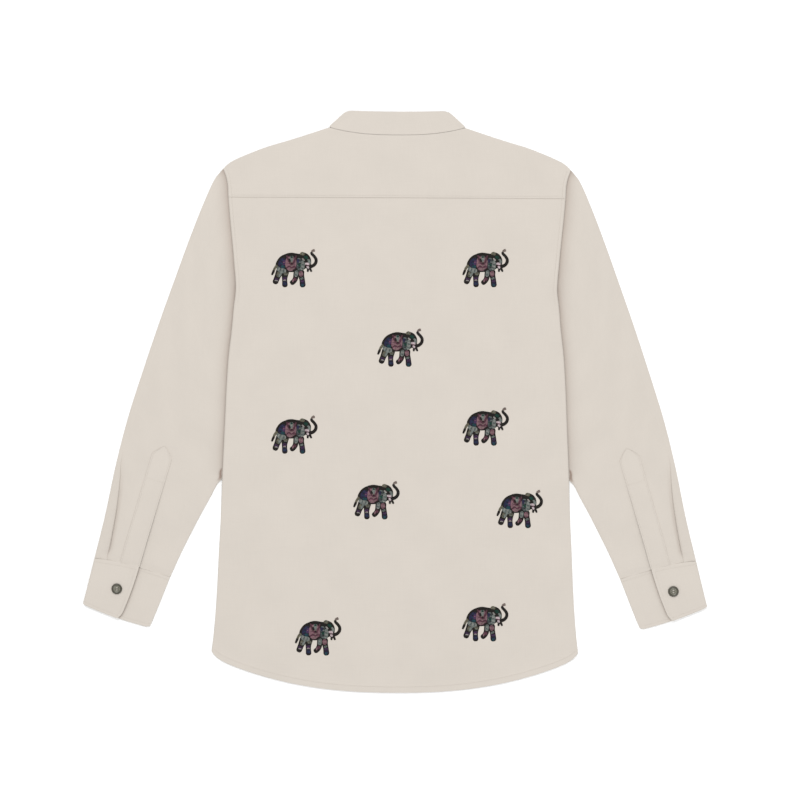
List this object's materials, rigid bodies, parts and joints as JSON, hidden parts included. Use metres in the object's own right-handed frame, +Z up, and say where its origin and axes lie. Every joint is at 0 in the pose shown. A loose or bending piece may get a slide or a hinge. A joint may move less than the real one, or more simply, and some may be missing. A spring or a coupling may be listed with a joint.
{
  "type": "kurta",
  "caption": "Long-sleeved kurta with a stand collar, back yoke, curved hem and buttoned cuffs, laid flat with its back up and its sleeves swung down.",
  "frame": {"origin": "middle of the plan box, on the surface that the kurta lies on", "axes": "+Z up from the surface, the back of the kurta facing up; +Y along the centre back from the hem to the collar; +X towards the wearer's right sleeve"},
  "size_m": [0.8266, 0.7707, 0.0065],
  "materials": {
    "body_cloth": "plain-weave linen and cotton cloth, ecru, matte, with fine slubs",
    "sleeve_cloth": "plain-weave linen and cotton cloth, ecru, matte, with fine slubs",
    "trim_cloth": "the same cloth, doubled and topstitched",
    "button": "dark olive-grey horn-like buttons with a paler dished middle"
  },
  "bodies": {
    "root": {"front": "body_cloth", "front_placket": "trim_cloth", "back": "body_cloth", "yoke": "body_cloth", "collar_band": "trim_cloth", "sleeve_left": "sleeve_cloth", "sleeve_placket_left": "trim_cloth", "cuff_left": "trim_cloth", "cuff_button_left": "button", "sleeve_right": "sleeve_cloth", "sleeve_placket_right": "trim_cloth", "cuff_right": "trim_cloth", "cuff_button_right": "button", "front_button_1": "button", "front_button_2": "button", "front_button_3": "button"}
  },
  "joints": []
}
